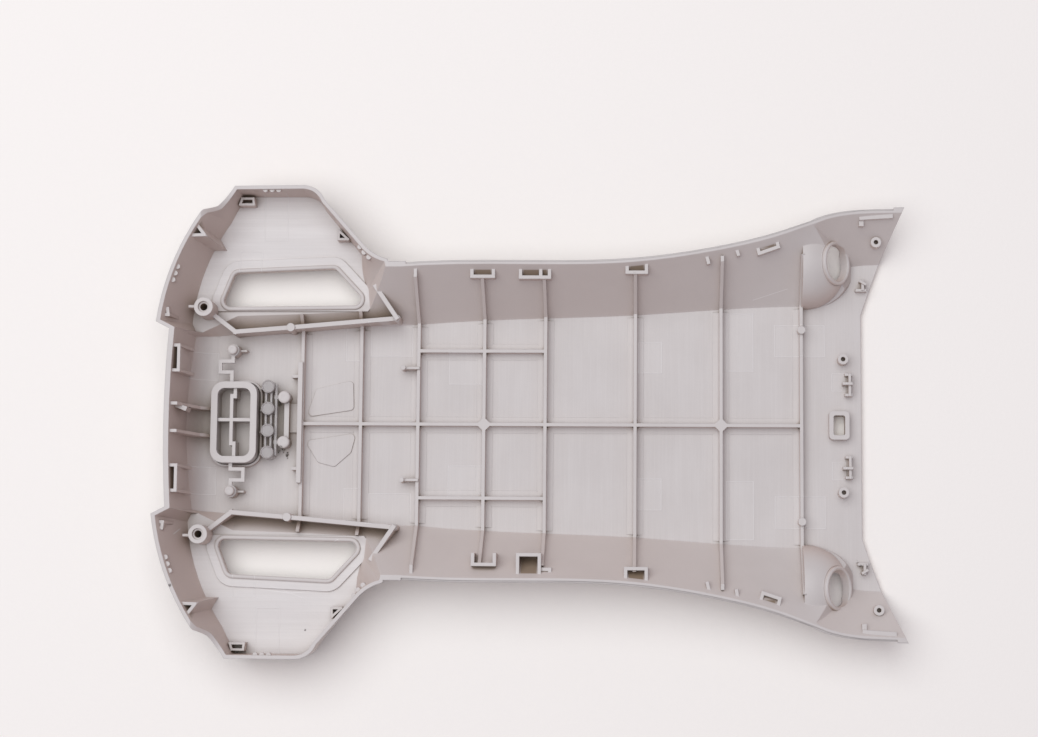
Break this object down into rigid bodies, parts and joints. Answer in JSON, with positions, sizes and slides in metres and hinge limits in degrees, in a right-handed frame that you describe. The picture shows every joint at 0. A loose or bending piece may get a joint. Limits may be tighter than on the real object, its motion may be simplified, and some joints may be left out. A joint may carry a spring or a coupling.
{
  "type": "moulded appliance housing half",
  "caption": "Injection moulded half housing with flared wings, a ribbed tray, clip sockets and screw bosses, a sprung push button and a clear light guide.",
  "frame": {"origin": "middle of the show face's footprint, on the surface that the housing lies on", "axes": "+X towards the flared open end, +Y towards one wing, +Z out of the open side"},
  "size_m": [0.2798, 0.1784, 0.03],
  "materials": {
    "shell_plastic": "fine matt moulded",
    "button_plastic": "fine matt moulded",
    "guide_plastic": "translucent moulded"
  },
  "bodies": {
    "shell": {"housing": "shell_plastic", "light_guide": "guide_plastic"},
    "button": {"power_button": "button_plastic"}
  },
  "joints": [
    {"name": "button_press", "type": "slide", "parent": "shell", "child": "button", "axis": [0, 0, 1], "range_m": [0, 0.0008], "stiffness_N_per_m": 2500, "springref_m": -0.0002}
  ]
}
